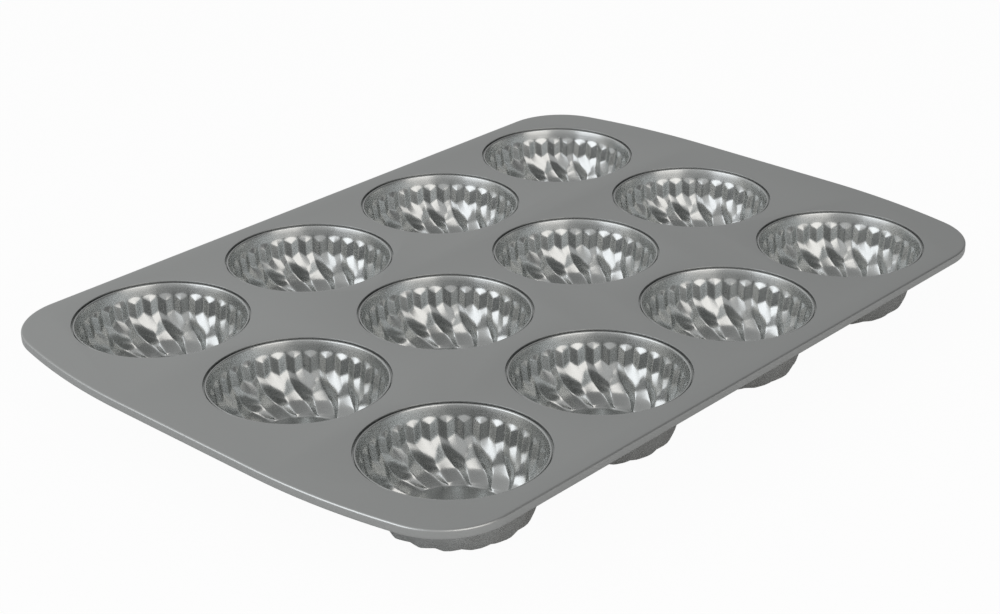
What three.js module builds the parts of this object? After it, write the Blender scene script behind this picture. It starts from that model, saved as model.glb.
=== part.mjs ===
// Twelve-cup baking pan: one pressed sheet with a folded edge and twelve deep fluted cups,
// each a separate pressing whose lip lies in a sunk seat round its hole and is crimped below it.
// Millimetres, +Z up. The origin is under the middle of the pan, on the plane it stands on.
import * as THREE from 'three';

// Layout of the pan
const COLUMNS = 4;
const ROWS = 3;
const PAN_LENGTH = 400;
const PAN_WIDTH = 282;
const PAN_HEIGHT = 32;

// Flat widths of the sheet between two seats, and from a seat to the edge's bend at the short ends
// and at the long sides. They share the room that the cups leave in the pan's length and width.
const WEB_WIDTH = 7.9;
const END_WIDTH = 21.65;
const SIDE_WIDTH = 8;

// Outline of the sheet: flat short ends, swept back on a wide arc into the rounded corners
const END_FLAT = 86;
const SWEEP_DEGREES = 13;
const CORNER_RADIUS = 33;
const SWEEP_STEPS = 3;
const CORNER_STEPS = 6;

// Sheet metal and the edge, folded down to a flat face and back under itself in a hem
const SHEET_WALL = 0.8;
const EDGE_HEIGHT = 4.4;
const EDGE_BEND = 0.9;
const EDGE_HEM = 2.2;

// Lip of a cup and its seat in the sheet
const CUP_WALL = 0.7;
const SEAM_RADIUS = 40.3;
const SEAM_GAP = 0.3;
const LIP_SINK = 0.6;
const LIP_WIDTH = 1.8;
const CRIMP_REACH = 1.0;

// Flutes: a fine row at the top over half as many wide swirled ones below
const WIDE_FLUTES = 16;
const FINE_FLUTES = 2 * WIDE_FLUTES;

// Depths below the sheet and distances inward from the cup's plain wall, valley first, then ridge
const LEDGE_DEPTH = 4.9;
const FINE_TOP = { valley: [0.2, 7.1], ridge: [1.3, 8.9] };
const FINE_FOOT = { valley: [1.2, 13.5], ridge: [2.3, 15.2] };
const WIDE_TOP = { valley: [3.0, 18.0], ridge: [6.2, 21.3] };
const WIDE_MIDDLE = { valley: [4.6, 22.6], ridge: [7.3, 24.3] };
const WIDE_FOOT = { valley: [6.6, 27.4], ridge: [9.0, 27.2] };
const FLOOR_RADIUS = 25.4;

// Clockwise turn of each row of the swirl in degrees, valley first, then ridge
const WIDE_TOP_TURN = [1.3, 5.9];
const WIDE_MIDDLE_TURN = [4.6, 7.3];
const WIDE_FOOT_TURN = [11.2, 10.2];
const FLOOR_TURN = [21.2, 16.0];

// How far each cup happens to be turned in its hole, in degrees, by column and row
const CUP_TURN = [
  [8.6, 11.3, 9.4],
  [4.6, 12.3, 0.1],
  [17.3, 1.2, 13.2],
  [0.6, 10.5, 4.0],
];

const lipRadius = SEAM_RADIUS - SEAM_GAP;
const wallRadius = lipRadius - LIP_WIDTH;
const wallOutside = wallRadius + CUP_WALL;
const seatRadius = wallOutside + SEAM_GAP;
const bendRadius = SEAM_RADIUS + SHEET_WALL + SEAM_GAP;
const degrees = Math.PI / 180;

// Depths of the lip's underside, of the seat's two faces and of the crimp below the seat
const lipUnder = LIP_SINK + CUP_WALL;
const seatTop = lipUnder + SEAM_GAP;
const seatUnder = seatTop + SHEET_WALL;
const crimpTop = seatUnder + SEAM_GAP;

// A mesh under construction: points and triangles
function newShell() {
  return { points: [], triangles: [] };
}

function addRing(shell, points) {
  const first = shell.points.length;
  shell.points.push(...points);
  return points.map((_, index) => first + index);
}

// Joins two rings of equal count, the first one lying to the right of the walking direction, or to
// its left where flipped. The diagonals run the same way in both, so a wall keeps its thickness.
function joinRings(shell, ringA, ringB, flip) {
  const count = ringA.length;
  const add = (a, b, c) => shell.triangles.push(flip ? [a, c, b] : [a, b, c]);
  for (let k = 0; k < count; k += 1) {
    const next = (k + 1) % count;
    add(ringA[k], ringA[next], ringB[next]);
    add(ringA[k], ringB[next], ringB[k]);
  }
}

// Joins a ring to one with twice as many points, three triangles for each coarse step
function joinToFiner(shell, coarse, fine, flip) {
  const count = coarse.length;
  const add = (a, b, c) => shell.triangles.push(flip ? [a, c, b] : [a, b, c]);
  for (let k = 0; k < count; k += 1) {
    const next = (k + 1) % count;
    const start = fine[2 * k];
    const middle = fine[2 * k + 1];
    const end = fine[(2 * k + 2) % fine.length];
    add(coarse[k], middle, start);
    add(coarse[k], coarse[next], middle);
    add(coarse[next], end, middle);
  }
}

function closeDisc(shell, ring, flip) {
  for (let k = 1; k + 1 < ring.length; k += 1) {
    const corners = [ring[0], ring[k], ring[k + 1]];
    shell.triangles.push(flip ? corners.reverse() : corners);
  }
}

function shellGeometry(shell) {
  const geometry = new THREE.BufferGeometry();
  geometry.setAttribute('position', new THREE.Float32BufferAttribute(shell.points.flat(), 3));
  geometry.setIndex(shell.triangles.flat());
  geometry.computeVertexNormals();
  return geometry;
}

// A ring of alternating valley and ridge points in a cup's own frame
function fluteRing(flutes, valley, ridge, turns, phase) {
  const points = [];
  for (let k = 0; k < 2 * flutes; k += 1) {
    const odd = k % 2;
    const [radius, depth] = odd ? ridge : valley;
    const angle = (phase - turns[odd] + (k * 180) / flutes) * degrees;
    points.push([radius * Math.cos(angle), radius * Math.sin(angle), PAN_HEIGHT - depth]);
  }
  return points;
}

const plainRing = (radius, depth, phase) =>
  fluteRing(WIDE_FLUTES, [radius, depth], [radius, depth], [0, 0], phase);

// The rows of a cup's pressed wall, from the fine flutes down to the floor
function pressedRows(offset) {
  const inward = ([distance, depth]) => [wallRadius - distance, depth];
  const floor = [FLOOR_RADIUS, PAN_HEIGHT - CUP_WALL];
  const rows = [
    { flutes: FINE_FLUTES, row: FINE_TOP, turns: [0, 0], lean: [0.95, 0.4] },
    { flutes: FINE_FLUTES, row: FINE_FOOT, turns: [0, 0], lean: [0.85, 0.5] },
    { flutes: WIDE_FLUTES, row: WIDE_TOP, turns: WIDE_TOP_TURN, lean: [0.8, 0.65] },
    { flutes: WIDE_FLUTES, row: WIDE_MIDDLE, turns: WIDE_MIDDLE_TURN, lean: [0.9, 0.4] },
    { flutes: WIDE_FLUTES, row: WIDE_FOOT, turns: WIDE_FOOT_TURN, lean: [0.8, 0.6] },
  ];
  const shift = ([radius, depth], lean) => [radius + offset * lean[0], depth + offset * lean[1]];
  const list = rows.map(({ flutes, row, turns, lean }) => ({
    flutes,
    valley: shift(inward(row.valley), lean),
    ridge: shift(inward(row.ridge), lean),
    turns,
  }));
  const foot = shift(floor, [0, 1]);
  list.push({ flutes: WIDE_FLUTES, valley: foot, ridge: foot, turns: FLOOR_TURN });
  return list;
}

// One fluted cup: lip, plain wall, two rows of flutes and a flat floor, with the crimp outside
function cupGeometry(phase) {
  const shell = newShell();
  const plain = (radius, depth) => addRing(shell, plainRing(radius, depth, phase));
  const pressed = (offset) =>
    pressedRows(offset).map(({ flutes, valley, ridge, turns }) =>
      addRing(shell, fluteRing(flutes, valley, ridge, turns, phase)));

  const lipTop = plain(lipRadius, LIP_SINK);
  const wallTop = plain(wallRadius, LIP_SINK);
  const ledge = plain(wallRadius, LEDGE_DEPTH);
  const inside = pressed(0);
  const lipEdge = plain(lipRadius, lipUnder);
  const neckTop = plain(wallOutside, lipUnder);
  const neckFoot = plain(wallOutside, crimpTop);
  const crimp = plain(wallOutside + CRIMP_REACH, crimpTop);
  const outside = pressed(CUP_WALL);

  joinRings(shell, lipTop, wallTop);
  joinRings(shell, wallTop, ledge);
  joinToFiner(shell, ledge, inside[0], false);
  joinRings(shell, inside[0], inside[1], false);
  joinToFiner(shell, inside[2], inside[1], true);
  joinRings(shell, inside[2], inside[3], false);
  joinRings(shell, inside[3], inside[4], false);
  joinRings(shell, inside[4], inside[5], false);
  closeDisc(shell, inside[5], false);

  joinRings(shell, lipEdge, lipTop);
  joinRings(shell, neckTop, lipEdge);
  joinRings(shell, neckFoot, neckTop);
  joinRings(shell, crimp, neckFoot);
  joinToFiner(shell, crimp, outside[0], true);
  joinRings(shell, outside[0], outside[1], true);
  joinToFiner(shell, outside[2], outside[1], false);
  joinRings(shell, outside[2], outside[3], true);
  joinRings(shell, outside[3], outside[4], true);
  joinRings(shell, outside[4], outside[5], true);
  closeDisc(shell, outside[5], true);
  return shellGeometry(shell);
}

// Places of the cups along one side of the sheet
function cupPlaces(side, count, marginWidth) {
  const room = side - 2 * EDGE_BEND - count * 2 * bendRadius;
  const share = room / ((count - 1) * WEB_WIDTH + 2 * marginWidth);
  const pitch = 2 * bendRadius + share * WEB_WIDTH;
  return Array.from({ length: count }, (_, k) => (k - (count - 1) / 2) * pitch);
}

// Every cup: its name by column and row, its place and its turn
function cupList() {
  const cups = [];
  cupPlaces(PAN_LENGTH, COLUMNS, END_WIDTH).forEach((x, column) => {
    cupPlaces(PAN_WIDTH, ROWS, SIDE_WIDTH).forEach((y, row) => {
      const turns = CUP_TURN[column % CUP_TURN.length];
      cups.push({ name: `cup_${column + 1}_${row + 1}`, x, y, turn: turns[row % turns.length] });
    });
  });
  return cups;
}

// A quarter of the sheet's outline with its outward directions, from the short end to the long side
function outlineQuarter() {
  const sweep = SWEEP_DEGREES * degrees;
  const arcTop = PAN_WIDTH / 2 - CORNER_RADIUS * (1 - Math.sin(sweep));
  const sweepRadius = (arcTop - END_FLAT / 2) / Math.sin(sweep);
  const cornerX = PAN_LENGTH / 2 - sweepRadius * (1 - Math.cos(sweep)) - CORNER_RADIUS * Math.cos(sweep);
  const points = [];
  for (let k = 0; k <= SWEEP_STEPS; k += 1) {
    const angle = (sweep * k) / SWEEP_STEPS;
    const x = PAN_LENGTH / 2 - sweepRadius * (1 - Math.cos(angle));
    points.push({ x, y: END_FLAT / 2 + sweepRadius * Math.sin(angle), angle });
  }
  for (let k = 1; k <= CORNER_STEPS; k += 1) {
    const angle = sweep + ((Math.PI / 2 - sweep) * k) / CORNER_STEPS;
    const y = PAN_WIDTH / 2 - CORNER_RADIUS * (1 - Math.sin(angle));
    points.push({ x: cornerX + CORNER_RADIUS * Math.cos(angle), y, angle });
  }
  return points;
}

// The whole outline, counter-clockwise from above
function outlinePoints() {
  const quarter = outlineQuarter();
  const mirrored = [...quarter].reverse();
  const half = [
    ...quarter,
    ...mirrored.map(({ x, y, angle }) => ({ x: -x, y, angle: Math.PI - angle })),
  ];
  const turned = half.map(({ x, y, angle }) => ({ x: -x, y: -y, angle: angle + Math.PI }));
  return [...half, ...turned];
}

// The sheet: flat top with twelve sunk seats, and an edge folded down and back under itself
function sheetGeometry() {
  const shell = newShell();
  const outline = outlinePoints();
  const edgeRing = (inset, depth) =>
    addRing(shell, outline.map(({ x, y, angle }) =>
      [x - inset * Math.cos(angle), y - inset * Math.sin(angle), PAN_HEIGHT - depth]));

  const bend = EDGE_BEND * (1 - Math.SQRT1_2);
  const edgeTop = edgeRing(EDGE_BEND, 0);
  const edgeRings = [
    edgeTop,
    edgeRing(bend, bend),
    edgeRing(0, EDGE_BEND),
    edgeRing(0, EDGE_HEIGHT - EDGE_BEND),
    edgeRing(bend, EDGE_HEIGHT - bend),
    edgeRing(EDGE_BEND, EDGE_HEIGHT),
    edgeRing(EDGE_HEM, EDGE_HEIGHT),
    edgeRing(EDGE_HEM, EDGE_HEIGHT - SHEET_WALL),
    edgeRing(SHEET_WALL, EDGE_HEIGHT - SHEET_WALL),
    edgeRing(SHEET_WALL, SHEET_WALL),
  ];
  for (let k = 0; k + 1 < edgeRings.length; k += 1) joinRings(shell, edgeRings[k + 1], edgeRings[k]);
  const edgeUnder = edgeRings[edgeRings.length - 1];

  const holesTop = [];
  const holesUnder = [];
  for (const { x, y, turn } of cupList()) {
    const ring = (radius, depth) =>
      addRing(shell, plainRing(radius, depth, turn).map((p) => [p[0] + x, p[1] + y, p[2]]));
    const top = ring(SEAM_RADIUS, 0);
    const stepFoot = ring(SEAM_RADIUS, seatTop);
    const seatEdge = ring(seatRadius, seatTop);
    const seatFoot = ring(seatRadius, seatUnder);
    const under = ring(bendRadius, SHEET_WALL);
    joinRings(shell, top, stepFoot);
    joinRings(shell, stepFoot, seatEdge);
    joinRings(shell, seatEdge, seatFoot);
    joinRings(shell, seatFoot, under);
    holesTop.push(top);
    holesUnder.push(under);
  }

  const flat = (ring) => ring.map((index) => new THREE.Vector2(...shell.points[index]));
  const fill = (border, holes, flip) => {
    const indices = [...border, ...holes.flat()];
    const faces = THREE.ShapeUtils.triangulateShape(flat(border), holes.map(flat));
    for (const [a, b, c] of faces) {
      const [p, q, r] = [a, b, c].map((k) => shell.points[indices[k]]);
      const up = (q[0] - p[0]) * (r[1] - p[1]) - (q[1] - p[1]) * (r[0] - p[0]) > 0;
      const corners = [indices[a], indices[b], indices[c]];
      shell.triangles.push(up === flip ? corners.reverse() : corners);
    }
  };
  fill(edgeTop, holesTop, false);
  fill(edgeUnder, holesUnder, true);
  return shellGeometry(shell);
}

function steel(colour, roughness, metalness) {
  return new THREE.MeshStandardMaterial({ color: colour, roughness, metalness });
}

const pan = new THREE.Group();
pan.name = 'fluted_cup_pan';

const sheet = new THREE.Mesh(sheetGeometry(), steel('#828485', 0.45, 0.75));
sheet.name = 'tray_sheet';
pan.add(sheet);

for (const { name, x, y, turn } of cupList()) {
  const cup = new THREE.Mesh(cupGeometry(turn), steel('#8b8d8e', 0.28, 0.9));
  cup.name = name;
  cup.position.set(x, y, 0);
  pan.add(cup);
}

export default pan;
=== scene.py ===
import math

import bmesh
import bpy
from mathutils import Matrix, Vector


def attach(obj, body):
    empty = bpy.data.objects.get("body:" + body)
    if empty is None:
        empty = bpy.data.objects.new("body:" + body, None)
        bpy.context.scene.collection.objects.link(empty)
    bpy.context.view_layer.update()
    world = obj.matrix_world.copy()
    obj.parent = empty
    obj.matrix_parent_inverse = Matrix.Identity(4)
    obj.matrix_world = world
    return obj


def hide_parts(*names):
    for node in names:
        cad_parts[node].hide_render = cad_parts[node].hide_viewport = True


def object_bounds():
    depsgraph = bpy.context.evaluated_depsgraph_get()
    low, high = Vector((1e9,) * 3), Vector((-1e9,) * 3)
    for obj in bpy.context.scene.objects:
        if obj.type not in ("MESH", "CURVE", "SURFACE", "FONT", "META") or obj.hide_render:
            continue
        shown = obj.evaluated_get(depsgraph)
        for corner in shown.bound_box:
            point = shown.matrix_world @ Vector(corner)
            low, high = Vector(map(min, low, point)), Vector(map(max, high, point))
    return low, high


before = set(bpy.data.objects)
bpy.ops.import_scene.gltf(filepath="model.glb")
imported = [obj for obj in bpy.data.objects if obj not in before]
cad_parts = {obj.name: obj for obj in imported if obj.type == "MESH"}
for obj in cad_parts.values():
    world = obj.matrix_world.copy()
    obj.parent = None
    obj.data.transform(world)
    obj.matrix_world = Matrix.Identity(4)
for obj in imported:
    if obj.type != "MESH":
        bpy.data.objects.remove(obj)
cad_low, cad_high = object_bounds()

# The sheet is one pressing of 0.8 mm steel with swept ends and rounded corners. Its edge is folded
# down and back under itself, and a seat is sunk round each of its twelve holes to take a cup's lip.
# It is sprayed all over with a silver-grey non-stick coating and baked, which leaves a satin face.
MM = 0.001
sheet_top = cad_high.z / MM
sheet_wall = 0.8
pan_length = (cad_high.x - cad_low.x) / MM
pan_width = (cad_high.y - cad_low.y) / MM
end_flat = 86.0
sweep = math.radians(13.0)
corner_radius = 33.0
edge_height = 4.4
edge_bend = 0.9
edge_hem = 2.2
edge_start = 2.6
columns = 4
rows = 3
cup_pitch = 90.7
seam_radius = 40.3
seat_radius = 39.2
seat_depth = 1.6
seam_rounding = 0.12
fit_gap = 0.3
seat_path = seam_radius + seam_rounding
seat_foot = seam_radius + sheet_wall + fit_gap


def linear(code):
    """The linear colour of an sRGB hex code."""
    channels = [int(code[k:k + 2], 16) / 255 for k in (1, 3, 5)]
    return tuple(c / 12.92 if c <= 0.04045 else ((c + 0.055) / 1.055) ** 2.4 for c in channels) + (1,)


def add(tree, kind, links=None, **settings):
    """Adds one node with its settings; links give an input a value, an output, or several outputs."""
    node = tree.nodes.new(kind)
    for name, value in settings.items():
        setattr(node, name, value)
    for key, value in (links or {}).items():
        for item in value if isinstance(value, list) else [value]:
            if isinstance(item, bpy.types.NodeSocket):
                tree.links.new(item, node.inputs[key])
            else:
                node.inputs[key].default_value = item
    return node


def node_tree(name, inputs):
    """A new geometry tree with its named inputs, and the node that hands them out."""
    tree = bpy.data.node_groups.new(name, "GeometryNodeTree")
    tree.interface.new_socket("Geometry", in_out="OUTPUT", socket_type="NodeSocketGeometry")
    tree.interface.new_socket("Geometry", in_out="INPUT", socket_type="NodeSocketGeometry")
    for label, kind in inputs.items():
        tree.interface.new_socket(label, in_out="INPUT", socket_type="NodeSocket" + kind)
    return tree, add(tree, "NodeGroupInput").outputs


def formed(name, drawing, tree, sizes):
    """Runs a tree on a drawn section and keeps the result as a plain mesh that faces outwards."""
    piece = bpy.data.objects.new(name, drawing)
    bpy.context.scene.collection.objects.link(piece)
    modifier = piece.modifiers.new(tree.name, "NODES")
    modifier.node_group = tree
    for item in tree.interface.items_tree:
        if item.in_out == "INPUT" and item.name in sizes:
            modifier[item.identifier] = sizes[item.name]
    evaluated = piece.evaluated_get(bpy.context.evaluated_depsgraph_get())
    mesh = bpy.data.meshes.new_from_object(evaluated)
    piece.modifiers.clear()
    piece.data = mesh
    mesh.name = name
    shell = bmesh.new()
    shell.from_mesh(mesh)
    bmesh.ops.recalc_face_normals(shell, faces=shell.faces)
    shell.to_mesh(mesh)
    shell.free()
    mesh.set_sharp_from_angle(angle=math.radians(38))
    return piece


def sheet_outline(inset):
    """The sheet's outline, drawn in by an inset, counter-clockwise from above, in millimetres."""
    arc_top = pan_width / 2 - corner_radius * (1 - math.sin(sweep))
    sweep_radius = (arc_top - end_flat / 2) / math.sin(sweep)
    corner_x = pan_length / 2 - sweep_radius * (1 - math.cos(sweep)) - corner_radius * math.cos(sweep)
    quarter = []
    for k in range(13):
        angle = sweep * k / 12
        x = pan_length / 2 - sweep_radius * (1 - math.cos(angle)) - inset * math.cos(angle)
        quarter.append((x, end_flat / 2 + (sweep_radius - inset) * math.sin(angle)))
    for k in range(1, 25):
        angle = sweep + (math.pi / 2 - sweep) * k / 24
        reach = corner_radius - inset
        y = pan_width / 2 - corner_radius + reach * math.sin(angle)
        quarter.append((corner_x + reach * math.cos(angle), y))
    half = quarter + [(-x, y) for x, y in reversed(quarter)]
    return half + [(-x, -y) for x, y in half]


def arc(centre, radius, start, end, steps):
    """Points of an arc in a section, each given as the way out and the way down."""
    turns = [math.radians(start + (end - start) * k / steps) for k in range(steps + 1)]
    return [(centre[0] + radius * math.cos(a), centre[1] - radius * math.sin(a)) for a in turns]


# The edge's section runs from the flat top over a tight bend, down a flat face and back underneath.
bend_out = edge_start - edge_bend
edge_section = [(0, 0)] + arc((bend_out, edge_bend), edge_bend, 90, 0, 10)
edge_section += arc((bend_out, edge_height - edge_bend), edge_bend, 0, -90, 10)
hem_end, hem_top = edge_start - edge_hem, edge_height - sheet_wall
inner_face = edge_start - sheet_wall
edge_section += [(hem_end, edge_height), (hem_end, hem_top), (bend_out, hem_top)]
edge_section += [(inner_face, edge_height - edge_bend), (inner_face, edge_bend)]
edge_section += [(bend_out, sheet_wall), (0, sheet_wall)]

# A seat's section runs from the flat top over the rounded edge of the hole, down to the seat and
# back under the sheet, where small steps round its two bends.
step_foot = seat_depth + sheet_wall
seat_section = arc((0, seam_rounding), seam_rounding, 90, 180, 6)
seat_section += [(-seam_rounding, seat_depth), (seat_radius - seat_path, seat_depth)]
seat_section += [(seat_radius - seat_path, step_foot), (0.0, step_foot), (0.2, step_foot - 0.1)]
seat_section += [(0.3, step_foot - 0.3), (0.3, sheet_wall + 0.25), (0.4, sheet_wall + 0.06)]
seat_section += [(seat_foot - seat_path, sheet_wall)]

drawn_points = [(x * MM, y * MM, 0) for x, y in sheet_outline(edge_start)]
drawn_edges = [(k, (k + 1) % len(drawn_points)) for k in range(len(drawn_points))]
drawn_kind = [0] * len(drawn_points)
for kind, section in ((1, edge_section), (2, seat_section)):
    first = len(drawn_points)
    drawn_points += [(x * MM, y * MM, 0) for x, y in section]
    drawn_edges += [(first + k, first + k + 1) for k in range(len(section) - 1)]
    drawn_kind += [kind] * len(section)
sheet_drawing = bpy.data.meshes.new("sheet_drawing")
sheet_drawing.from_pydata(drawn_points, drawn_edges, [])
sheet_drawing.attributes.new("section", "INT", "POINT").data.foreach_set("value", drawn_kind)

sheet_sizes = {
    "Columns": "Int", "Rows": "Int", "Cup Pitch": "Float", "Seat Path": "Float", "Seat Foot": "Float",
    "Round Steps": "Int", "Sheet Wall": "Float", "Sheet Top": "Float", "Coating": "Material",
}
tree, given = node_tree("Pressed sheet", sheet_sizes)
section_kind = add(tree, "GeometryNodeInputNamedAttribute", {"Name": "section"}, data_type="INT")
lines = []
for kind in range(3):
    chosen = add(tree, "FunctionNodeCompare", {2: section_kind.outputs[0], 3: kind},
                 data_type="INT", operation="EQUAL")
    part = add(tree, "GeometryNodeSeparateGeometry",
               {"Geometry": given["Geometry"], "Selection": chosen.outputs[0]}, domain="POINT")
    lines.append(add(tree, "GeometryNodeMeshToCurve", {"Mesh": part.outputs["Selection"]}).outputs[0])
outline_line, edge_line, seat_line = lines

# The folded edge follows the outline.
edge_path = add(tree, "GeometryNodeSetCurveNormal", {"Curve": outline_line}, mode="Z_UP")
edge_fold = add(tree, "GeometryNodeCurveToMesh",
                {"Curve": edge_path.outputs[0], "Profile Curve": edge_line})

# One seat follows a circle, and stands at every place of the pattern.
last_column = add(tree, "ShaderNodeMath", {0: given["Columns"], 1: 1.0}, operation="SUBTRACT")
last_row = add(tree, "ShaderNodeMath", {0: given["Rows"], 1: 1.0}, operation="SUBTRACT")
pattern_x = add(tree, "ShaderNodeMath", {0: last_column.outputs[0], 1: given["Cup Pitch"]},
                operation="MULTIPLY")
pattern_y = add(tree, "ShaderNodeMath", {0: last_row.outputs[0], 1: given["Cup Pitch"]},
                operation="MULTIPLY")
places = add(tree, "GeometryNodeMeshGrid", {
    "Size X": pattern_x.outputs[0], "Size Y": pattern_y.outputs[0],
    "Vertices X": given["Columns"], "Vertices Y": given["Rows"]})
rings = []
for radius in ("Seat Path", "Seat Foot"):
    ring = add(tree, "GeometryNodeCurvePrimitiveCircle",
               {"Resolution": given["Round Steps"], "Radius": given[radius]})
    level_ring = add(tree, "GeometryNodeSetCurveNormal", {"Curve": ring.outputs[0]}, mode="Z_UP")
    rings.append(level_ring.outputs[0])
seat = add(tree, "GeometryNodeCurveToMesh", {"Curve": rings[0], "Profile Curve": seat_line})
copies = []
for shape in (seat.outputs[0], rings[0], rings[1]):
    spread = add(tree, "GeometryNodeInstanceOnPoints", {"Points": places.outputs[0], "Instance": shape})
    copies.append(add(tree, "GeometryNodeRealizeInstances", {"Geometry": spread.outputs[0]}).outputs[0])

# The flat faces above and below fill the outline around the holes.
faces = []
for holes in copies[1:]:
    bounds = add(tree, "GeometryNodeJoinGeometry", {"Geometry": [outline_line, holes]})
    filled = add(tree, "GeometryNodeFillCurve", {"Curve": bounds.outputs[0]}, mode="NGONS")
    faces.append(add(tree, "GeometryNodeSetShadeSmooth",
                     {"Geometry": filled.outputs[0], "Shade Smooth": False}).outputs[0])
wall_down = add(tree, "ShaderNodeMath", {0: given["Sheet Wall"], 1: -1.0}, operation="MULTIPLY")
wall_shift = add(tree, "ShaderNodeCombineXYZ", {"Z": wall_down.outputs[0]})
underside = add(tree, "GeometryNodeTransform",
                {"Geometry": faces[1], "Translation": wall_shift.outputs[0]})
bends = add(tree, "GeometryNodeJoinGeometry", {"Geometry": [edge_fold.outputs[0], copies[0]]})
bends_smooth = add(tree, "GeometryNodeSetShadeSmooth",
                   {"Geometry": bends.outputs[0], "Shade Smooth": True})
whole = add(tree, "GeometryNodeJoinGeometry",
            {"Geometry": [bends_smooth.outputs[0], faces[0], underside.outputs[0]]})
welded = add(tree, "GeometryNodeMergeByDistance", {"Geometry": whole.outputs[0], "Distance": 0.005 * MM})
top_shift = add(tree, "ShaderNodeCombineXYZ", {"Z": given["Sheet Top"]})
raised = add(tree, "GeometryNodeTransform",
             {"Geometry": welded.outputs[0], "Translation": top_shift.outputs[0]})
plain = add(tree, "GeometryNodeRealizeInstances", {"Geometry": raised.outputs[0]})
coated = add(tree, "GeometryNodeSetMaterial",
             {"Geometry": plain.outputs[0], "Material": given["Coating"]})
add(tree, "NodeGroupOutput", {"Geometry": coated.outputs[0]})


def non_stick_coating(name, dark, light, gloss, grain_size, grain_height):
    """Silver-grey non-stick coating: fine metal flake in a baked film, so it is half mirror, half satin.
    The flake gives a faint grain, drawn coarser than it is so that it shows, and the sprayed film a slow
    drift in tone and gloss. Sizes are in millimetres."""
    drift_size, grain_share = 60, 0.55
    material = bpy.data.materials.new(name)
    material.use_nodes = True
    nodes = material.node_tree
    shader = nodes.nodes["Principled BSDF"]
    place = add(nodes, "ShaderNodeTexCoord").outputs["Object"]
    grain = add(nodes, "ShaderNodeTexNoise",
                {"Vector": place, "Scale": 1 / (grain_size * MM), "Detail": 2.0})
    drift = add(nodes, "ShaderNodeTexNoise",
                {"Vector": place, "Scale": 1 / (drift_size * MM), "Detail": 1.0})
    tone = add(nodes, "ShaderNodeMath", {0: grain.outputs["Fac"], 1: grain_share}, operation="MULTIPLY")
    mixed = add(nodes, "ShaderNodeMath", operation="MULTIPLY_ADD", links={
        0: drift.outputs["Fac"], 1: 1 - grain_share, 2: tone.outputs[0]})
    colour = add(nodes, "ShaderNodeMix", data_type="RGBA", links={
        0: mixed.outputs[0], 6: linear(dark), 7: linear(light)})
    nodes.links.new(colour.outputs[2], shader.inputs["Base Color"])
    satin = add(nodes, "ShaderNodeMapRange", {
        "Value": mixed.outputs[0], "From Min": 0.3, "From Max": 0.7,
        "To Min": gloss[0], "To Max": gloss[1]})
    nodes.links.new(satin.outputs[0], shader.inputs["Roughness"])
    relief = add(nodes, "ShaderNodeBump", {"Height": grain.outputs["Fac"], "Strength": 1.0,
                                           "Distance": grain_height * MM})
    nodes.links.new(relief.outputs[0], shader.inputs["Normal"])
    shader.inputs["Metallic"].default_value = 1.0
    return material


# Left as it was sprayed, the coating has a satin face.
sheet_coating = non_stick_coating("baked_silver_non_stick_satin", "#b2b4b3", "#bcbebd",
                                  gloss=(0.34, 0.40), grain_size=0.7, grain_height=0.004)
pressed_sheet = formed("pressed_sheet", sheet_drawing, tree, {
    "Columns": columns, "Rows": rows, "Cup Pitch": cup_pitch * MM, "Seat Path": seat_path * MM,
    "Seat Foot": seat_foot * MM, "Round Steps": 160, "Sheet Wall": sheet_wall * MM,
    "Sheet Top": sheet_top * MM, "Coating": sheet_coating})
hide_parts("tray_sheet")
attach(pressed_sheet, "root")

# The twelve cups are separate deep pressings of 0.7 mm steel with the same coating, burnished by the
# press tool. Thirty-two fine flutes stand over sixteen wide swirled ones. The flat lip lies in the
# sheet's seat, and a bead pressed out below the seat holds the cup there.
cup_wall = 0.7
lip_sink = 0.6
seam_gap = 0.75
lip_width = 1.35
band_taper = 0.5
band_foot = 5.3
bead_reach = 1.0
outside_relief = 0.5
lip_radius = seam_radius - seam_gap
wall_radius = lip_radius - lip_width
wall_outside = wall_radius + cup_wall
lip_under = lip_sink + cup_wall
bead_top = seat_depth + sheet_wall + fit_gap

# Rows of the wall: way in from the plain wall and depth, in the valley and on the ridge, each with its
# clockwise turn, then the lean of the wall there and how far its bend is rounded.
wall_rows = [
    {"fine": 1, "valley": (0.7, 6.9, 0), "ridge": (1.8, 8.0, 0), "lean": (0.95, 0.4), "ease": 0.5},
    {"fine": 1, "valley": (1.9, 13.5, 0), "ridge": (3.1, 15.0, 0), "lean": (0.85, 0.5), "ease": 0.9},
    {"fine": 0, "valley": (3.7, 17.5, 1.3), "ridge": (6.4, 21.2, 5.9), "lean": (0.8, 0.65), "ease": 1.5},
    {"fine": 0, "valley": (4.8, 22.5, 4.6), "ridge": (7.4, 24.3, 7.3), "lean": (0.9, 0.4), "ease": 1.0},
    {"fine": 0, "valley": (6.6, 27.4, 11.2), "ridge": (9.2, 27.0, 10.2), "lean": (0.8, 0.6), "ease": 1.4},
    {"fine": 0, "valley": (11.0, 30.3, 18.6), "ridge": (13.6, 29.8, 14.5), "lean": (0.5, 0.85), "ease": 0.8},
]
floor_radius = 24.1
foot_radius = 24.5
floor_turns = {"valley": 21.2, "ridge": 16.0}
inner_floor = sheet_top - cup_wall


def eased(stations, steps):
    """Stations of a section with rounded bends: each is way out, turn, depth, fineness, rounding."""
    def toward(here, other, ease):
        run = math.hypot(other[0] - here[0], other[2] - here[2])
        return here.lerp(other, min(ease / run, 0.45))

    corners = [Vector(station[:4]) for station in stations]
    points = [corners[0]]
    for k in range(1, len(corners) - 1):
        start = toward(corners[k], corners[k - 1], stations[k][4])
        end = toward(corners[k], corners[k + 1], stations[k][4])
        points.append((points[-1] + start) / 2)
        for step in range(steps + 1):
            t = step / steps
            points.append(start * (1 - t) ** 2 + corners[k] * (2 * t * (1 - t)) + end * t ** 2)
    return points + [(points[-1] + corners[-1]) / 2, corners[-1]]


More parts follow.
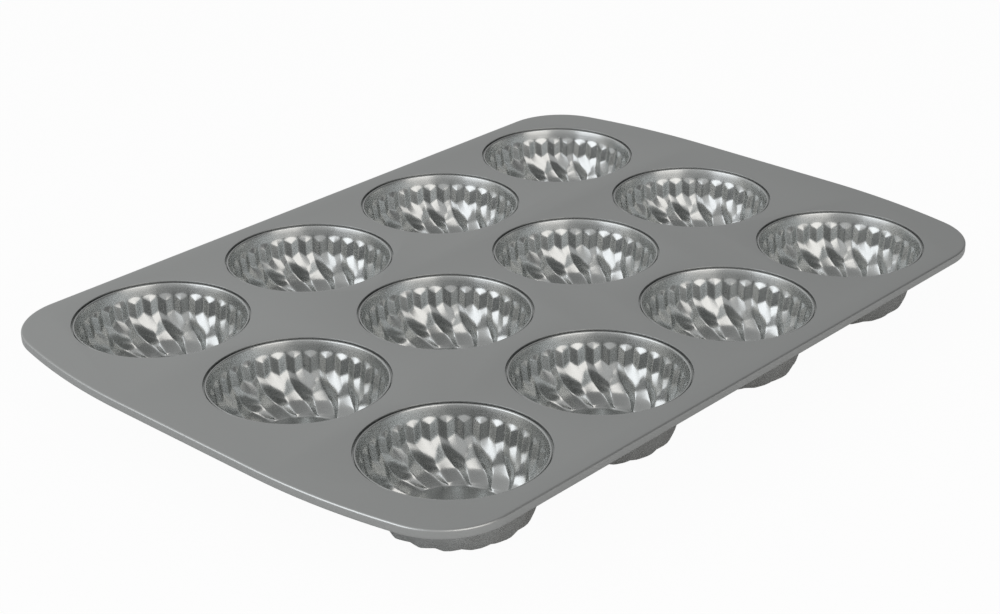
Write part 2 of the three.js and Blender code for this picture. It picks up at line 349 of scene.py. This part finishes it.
def cup_section(line):
    """A cup's section along a valley or a ridge: down the inside to the middle, and up the outside,
    where the flutes show with less relief."""
    def pressed(offset, relief):
        for row in wall_rows:
            inward, depth, turn = Vector(row["valley"]).lerp(Vector(row[line]), relief)
            out = wall_radius - inward + offset * row["lean"][0]
            yield (out, turn, depth + offset * row["lean"][1], row["fine"], row["ease"])

    turn = floor_turns[line]
    inside = [
        (lip_radius, 0, lip_under, 1, 0), (lip_radius, 0, lip_sink, 1, 0.4),
        (wall_radius + band_taper, 0, lip_sink, 1, 0.6),
        (wall_radius - band_taper, 0, band_foot, 1, 0.4),
        *pressed(0, 1),
        (floor_radius, turn, inner_floor, 0, 0.6), (0, turn, inner_floor, 0, 0),
    ]
    outside = [
        (0, turn, sheet_top, 0, 0), (foot_radius, turn, sheet_top, 0, 0.8),
        *reversed(list(pressed(cup_wall, outside_relief))),
        (wall_outside + bead_reach, 0, bead_top, 1, 0.4), (wall_outside, 0, bead_top, 1, 0.1),
        (wall_outside, 0, lip_under, 1, 0.1), (lip_radius, 0, lip_under, 1, 0),
    ]
    return eased(inside, 4) + eased(outside, 2)


valley, ridge = cup_section("valley"), cup_section("ridge")
cup_drawing = bpy.data.meshes.new("cup_drawing")
drawn = [(p[0] * MM, math.radians(p[1]), (sheet_top - p[2]) * MM) for p in valley + ridge]
cup_drawing.from_pydata(drawn, [], [])
fineness = [p[3] for p in valley + ridge]
cup_drawing.attributes.new("fine", "FLOAT", "POINT").data.foreach_set("value", fineness)

cup_sizes = {"Flutes": "Int", "Flute Steps": "Int", "Crease": "Float", "Gathering": "Float",
             "Turn": "Float", "Centre": "Vector", "Coating": "Material"}
tree, given = node_tree("Fluted cup", cup_sizes)
drawn_count = add(tree, "GeometryNodeAttributeDomainSize", {"Geometry": given["Geometry"]})
section_count = add(tree, "ShaderNodeMath", {0: drawn_count.outputs["Point Count"], 1: 2.0},
                    operation="DIVIDE")
step_count = add(tree, "ShaderNodeMath", {0: given["Flutes"], 1: given["Flute Steps"]},
                 operation="MULTIPLY")
ring_count = add(tree, "ShaderNodeMath", {0: step_count.outputs[0], 1: 1.0}, operation="ADD")
blank = add(tree, "GeometryNodeMeshGrid",
            {"Vertices X": ring_count.outputs[0], "Vertices Y": section_count.outputs[0]})

# Each point of the blank knows its step round the cup and its place down the section.
index = add(tree, "GeometryNodeInputIndex").outputs[0]
ratio = add(tree, "ShaderNodeMath", {0: index, 1: section_count.outputs[0]}, operation="DIVIDE")
step = add(tree, "ShaderNodeMath", {0: ratio.outputs[0]}, operation="FLOOR")
passed = add(tree, "ShaderNodeMath", {0: step.outputs[0], 1: section_count.outputs[0]},
             operation="MULTIPLY")
down = add(tree, "ShaderNodeMath", {0: index, 1: passed.outputs[0]}, operation="SUBTRACT")
down_ridge = add(tree, "ShaderNodeMath", {0: down.outputs[0], 1: section_count.outputs[0]},
                 operation="ADD")

# The steps are gathered towards the creases of the flutes, where the metal bends most.
even = add(tree, "ShaderNodeMath", {0: step.outputs[0], 1: given["Flute Steps"]}, operation="DIVIDE")
quarter = add(tree, "ShaderNodeMath", {0: even.outputs[0], 1: 8 * math.pi}, operation="MULTIPLY")
swing = add(tree, "ShaderNodeMath", {0: quarter.outputs[0]}, operation="SINE")
pull = add(tree, "ShaderNodeMath", {0: given["Gathering"], 1: -1 / (8 * math.pi)}, operation="MULTIPLY")
flute = add(tree, "ShaderNodeMath", {0: swing.outputs[0], 1: pull.outputs[0], 2: even.outputs[0]},
            operation="MULTIPLY_ADD")

# A flute's section is a zigzag with rounded creases: nought in the valley and one on the ridge.
full_bend = add(tree, "ShaderNodeMath", {0: given["Crease"]}, operation="ARCSINE")
half_bend = add(tree, "ShaderNodeMath", {0: -0.5, 1: full_bend.outputs[0]}, operation="DIVIDE")
waves = []
for count in (1, 2):
    phase = add(tree, "ShaderNodeMath", {0: flute.outputs[0], 1: 2 * math.pi * count},
                operation="MULTIPLY")
    round_wave = add(tree, "ShaderNodeMath", {0: phase.outputs[0]}, operation="COSINE")
    blunt = add(tree, "ShaderNodeMath", {0: round_wave.outputs[0], 1: given["Crease"]},
                operation="MULTIPLY")
    bend = add(tree, "ShaderNodeMath", {0: blunt.outputs[0]}, operation="ARCSINE")
    waves.append(add(tree, "ShaderNodeMath", {0: bend.outputs[0], 1: half_bend.outputs[0], 2: 0.5},
                     operation="MULTIPLY_ADD").outputs[0])

# The wall at each point lies between the section in the valley and the one on the ridge.
drawn_place = add(tree, "GeometryNodeInputPosition").outputs[0]
drawn_fine = add(tree, "GeometryNodeInputNamedAttribute", {"Name": "fine"}, data_type="FLOAT")
in_valley = add(tree, "GeometryNodeSampleIndex", data_type="FLOAT_VECTOR", domain="POINT", links={
    "Geometry": given["Geometry"], "Value": drawn_place, "Index": down.outputs[0]})
on_ridge = add(tree, "GeometryNodeSampleIndex", data_type="FLOAT_VECTOR", domain="POINT", links={
    "Geometry": given["Geometry"], "Value": drawn_place, "Index": down_ridge.outputs[0]})
fine_here = add(tree, "GeometryNodeSampleIndex", data_type="FLOAT", domain="POINT", links={
    "Geometry": given["Geometry"], "Value": drawn_fine.outputs[0], "Index": down.outputs[0]})
share = add(tree, "ShaderNodeMix", data_type="FLOAT", links={
    0: fine_here.outputs[0], 2: waves[0], 3: waves[1]})
wall = add(tree, "ShaderNodeMix", data_type="VECTOR", links={
    0: share.outputs[0], 4: in_valley.outputs[0], 5: on_ridge.outputs[0]})
parts = add(tree, "ShaderNodeSeparateXYZ", {0: wall.outputs[1]})
whole_turn = add(tree, "ShaderNodeMath", {0: flute.outputs[0], 1: given["Flutes"]}, operation="DIVIDE")
straight = add(tree, "ShaderNodeMath", {0: whole_turn.outputs[0], 1: 2 * math.pi}, operation="MULTIPLY")
angle = add(tree, "ShaderNodeMath", {0: straight.outputs[0], 1: parts.outputs["Y"]},
            operation="SUBTRACT")
across = add(tree, "ShaderNodeMath", {0: angle.outputs[0]}, operation="COSINE")
along = add(tree, "ShaderNodeMath", {0: angle.outputs[0]}, operation="SINE")
cup_x = add(tree, "ShaderNodeMath", {0: parts.outputs["X"], 1: across.outputs[0]}, operation="MULTIPLY")
cup_y = add(tree, "ShaderNodeMath", {0: parts.outputs["X"], 1: along.outputs[0]}, operation="MULTIPLY")
cup_point = add(tree, "ShaderNodeCombineXYZ",
                {"X": cup_x.outputs[0], "Y": cup_y.outputs[0], "Z": parts.outputs["Z"]})
shaped = add(tree, "GeometryNodeSetPosition",
             {"Geometry": blank.outputs[0], "Position": cup_point.outputs[0]})

# The two walls part at the middle of the floor, and the shell is welded shut at the lip and the seam.
flat_place = add(tree, "ShaderNodeVectorMath", {0: drawn_place, 1: (1, 1, 0)}, operation="MULTIPLY")
from_middle = add(tree, "ShaderNodeVectorMath", {0: flat_place.outputs[0]}, operation="LENGTH")
at_middle = add(tree, "FunctionNodeCompare", {0: from_middle.outputs["Value"], 1: 0.01 * MM},
                data_type="FLOAT", operation="LESS_THAN")
parted = add(tree, "GeometryNodeDeleteGeometry",
             {"Geometry": shaped.outputs[0], "Selection": at_middle.outputs[0]}, domain="FACE", mode="ALL")
welded = add(tree, "GeometryNodeMergeByDistance",
             {"Geometry": parted.outputs[0], "Distance": 0.002 * MM})
smooth = add(tree, "GeometryNodeSetShadeSmooth",
             {"Geometry": welded.outputs[0], "Shade Smooth": True})
cup_turn = add(tree, "ShaderNodeCombineXYZ", {"Z": given["Turn"]})
placed = add(tree, "GeometryNodeTransform", {
    "Geometry": smooth.outputs[0], "Translation": given["Centre"], "Rotation": cup_turn.outputs[0]})
plain = add(tree, "GeometryNodeRealizeInstances", {"Geometry": placed.outputs[0]})
coated = add(tree, "GeometryNodeSetMaterial",
             {"Geometry": plain.outputs[0], "Material": given["Coating"]})
add(tree, "NodeGroupOutput", {"Geometry": coated.outputs[0]})

# Rubbed by the press tool, the coating is glossier in the cups and shows soft mirror images.
cup_coating = non_stick_coating("baked_silver_non_stick_burnished", "#b6b8b7", "#c0c2c1",
                                gloss=(0.24, 0.30), grain_size=1.2, grain_height=0.002)

# Each cup was dropped into its hole at a turn of its own, in degrees, by column and row.
cup_turns = [(8.6, 11.3, 9.4), (4.6, 12.3, 0.1), (17.3, 1.2, 13.2), (0.6, 10.5, 4.0)]
for column in range(columns):
    for row in range(rows):
        name = f"cup_{column + 1}_{row + 1}"
        x, y = (column - (columns - 1) / 2) * cup_pitch, (row - (rows - 1) / 2) * cup_pitch
        centre = (x * MM, y * MM, 0)
        cup = formed("fluted_" + name, cup_drawing, tree, {
            "Flutes": 16, "Flute Steps": 20, "Crease": 0.98, "Gathering": 0.6,
            "Turn": math.radians(cup_turns[column][row]), "Centre": centre, "Coating": cup_coating})
        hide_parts(name)
        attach(cup, "root")

# The floor is a wide sheet of matt white card that the pan stands on. It is lit nearly to white for the
# eye, and still takes a trace of the pan's soft shadow.
card_reach = 3.0
card_drop = 0.2 * MM
shown_white = 0.96
card_corners = [(x * card_reach, y * card_reach, 0) for x, y in ((-1, -1), (1, -1), (1, 1), (-1, 1))]
card = bpy.data.meshes.new("white_card")
card.from_pydata(card_corners, [], [(0, 1, 2, 3)])
floor = bpy.data.objects.new("white_card", card)
floor.location.z = -card_drop
bpy.context.scene.collection.objects.link(floor)
# Uncoated card scatters light evenly, with no shine.
card_white = bpy.data.materials.new("matt_white_card")
card_white.use_nodes = True
nodes = card_white.node_tree
matt = nodes.nodes["Principled BSDF"]
matt.inputs["Base Color"].default_value = linear("#e0e0e0")
matt.inputs["Roughness"].default_value = 0.9
ray = add(nodes, "ShaderNodeLightPath")
lit = add(nodes, "ShaderNodeMath", {0: ray.outputs["Is Camera Ray"], 1: shown_white},
          operation="MULTIPLY")
glow = add(nodes, "ShaderNodeEmission", {"Color": (1, 1, 1, 1), "Strength": 1.0})
blend = add(nodes, "ShaderNodeMixShader", {0: lit.outputs[0], 1: matt.outputs[0], 2: glow.outputs[0]})
nodes.links.new(blend.outputs[0], nodes.nodes["Material Output"].inputs["Surface"])
card.materials.append(card_white)

# Soft studio light: a pale room that is brighter on the left and a little so behind the camera, and two
# large soft boxes that stand low at both sides of the camera, each facing the middle of the pan.
camera_side = Vector((-0.7360, -0.6770, 0))
right_side = Vector((0.6742, -0.7385, 0))
room_left, room_right, room_front = 0.78, 0.17, 0.15
world = bpy.data.worlds.new("pale_room")
bpy.context.scene.world = world
world.use_nodes = True
nodes = world.node_tree
way = add(nodes, "ShaderNodeTexCoord").outputs["Generated"]
side = add(nodes, "ShaderNodeVectorMath", {0: way, 1: right_side}, operation="DOT_PRODUCT")
level = add(nodes, "ShaderNodeMapRange", {
    "Value": side.outputs["Value"], "From Min": -1.0, "From Max": 1.0,
    "To Min": room_left, "To Max": room_right})
front = add(nodes, "ShaderNodeVectorMath", {0: way, 1: camera_side}, operation="DOT_PRODUCT")
fill = add(nodes, "ShaderNodeMapRange", {
    "Value": front.outputs["Value"], "From Min": 0.0, "From Max": 1.0,
    "To Min": 0.0, "To Max": room_front})
whole_room = add(nodes, "ShaderNodeMath", {0: level.outputs[0], 1: fill.outputs[0]}, operation="ADD")
nodes.links.new(whole_room.outputs[0], nodes.nodes["Background"].inputs["Strength"])
nodes.nodes["Background"].inputs["Color"].default_value = (1, 1, 1, 1)


def soft_box(name, sideways, lift, distance, size, level, tint):
    """A soft box at an angle to the right of the camera and a lift above the floor, in degrees; its
    level is its brightness, where white card in the room's light has one."""
    flat = camera_side * math.cos(math.radians(sideways)) + right_side * math.sin(math.radians(sideways))
    way = flat * math.cos(math.radians(lift)) + Vector((0, 0, math.sin(math.radians(lift))))
    light = bpy.data.lights.new(name, "AREA")
    light.shape = "RECTANGLE"
    light.size, light.size_y = size
    light.energy = level * math.pi * size[0] * size[1]
    light.color = linear(tint)[:3]
    box = bpy.data.objects.new(name, light)
    box.location = way * distance
    box.rotation_euler = way.to_track_quat("Z", "Y").to_euler()
    bpy.context.scene.collection.objects.link(box)


soft_box("soft_box_left", -60, 23, 1.5, (1.25, 1.1), 1.36, "#f7faff")
soft_box("soft_box_right", 34, 26, 1.5, (1.2, 1.25), 1.36, "#fffaf6")

# The camera looks down on the corner of the pan from about 25 degrees, as in the photograph.
lens = bpy.data.cameras.new("camera")
lens.sensor_width = 36.0
lens.lens = 74.4466
lens.clip_start, lens.clip_end = 0.05, 20.0
camera = bpy.data.objects.new("camera", lens)
right = Vector((0.67390754, -0.73876717, -0.00846753))
up = Vector((0.32115758, 0.28260177, 0.90387723))
back = right.cross(up).normalized()
turn = Matrix((right, up, back)).transposed().to_4x4()
camera.matrix_world = Matrix.Translation((-0.65221, -0.59146, 0.43405)) @ turn
bpy.context.scene.collection.objects.link(camera)
bpy.context.scene.camera = camera
bpy.context.scene.view_settings.view_transform = "Standard"
